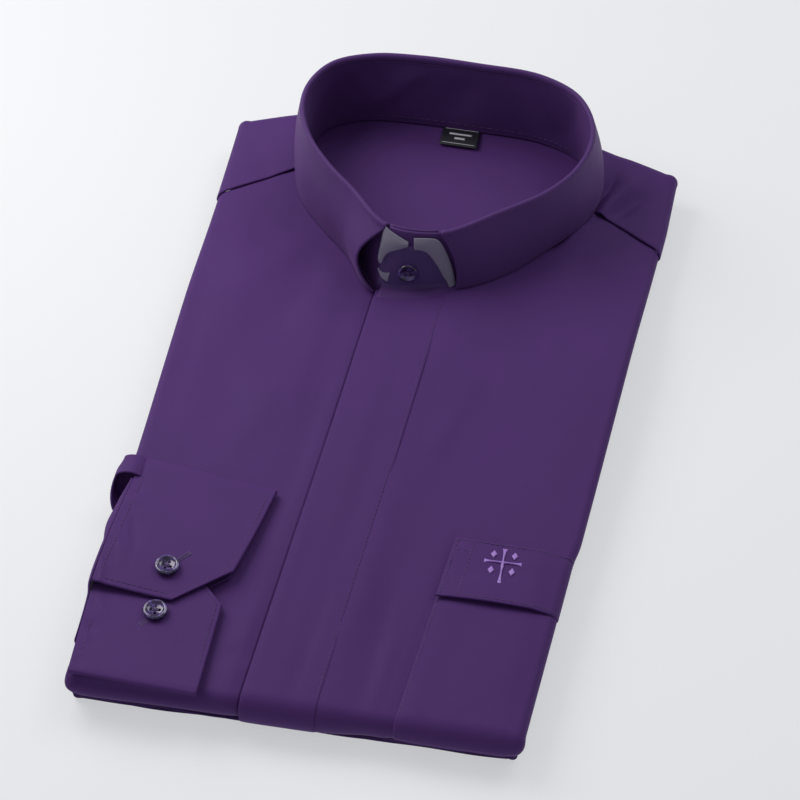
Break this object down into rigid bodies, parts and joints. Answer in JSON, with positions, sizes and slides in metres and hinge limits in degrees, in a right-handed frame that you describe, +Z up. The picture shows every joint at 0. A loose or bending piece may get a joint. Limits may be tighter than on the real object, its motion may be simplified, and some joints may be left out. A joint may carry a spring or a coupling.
{
  "type": "folded clergy shirt",
  "caption": "Folded long-sleeved clergy shirt with a standing tab collar, fly placket, chest pocket with a flap, and one cuff laid over the front.",
  "frame": {"origin": "on the shirt's centreline, in the flat underside that rests on the table", "axes": "+X to the wearer's left, +Y up the shirt to the collar, +Z up"},
  "size_m": [0.2241, 0.3707, 0.0676],
  "materials": {
    "shirt_cloth": "fine plain cotton, pressed, slight sheen",
    "label_weave": "woven satin label",
    "button_resin": "polished dark resin",
    "clear_plastic": "clear film, glossy"
  },
  "bodies": {
    "root": {"folded_layers_behind": "shirt_cloth", "front_right": "shirt_cloth", "front_left": "shirt_cloth", "fly_placket": "shirt_cloth", "yoke": "shirt_cloth", "yoke_lining": "shirt_cloth", "collar_stand": "shirt_cloth", "collar_leaf": "shirt_cloth", "collar_insert": "clear_plastic", "neck_label": "label_weave", "chest_pocket": "shirt_cloth", "pocket_flap": "shirt_cloth", "cuff_right": "shirt_cloth", "sleeve_right": "shirt_cloth", "sleeve_right_tuck": "shirt_cloth", "cuff_button_lap": "button_resin", "cuff_button_underlap": "button_resin", "neck_button": "button_resin"}
  },
  "joints": []
}
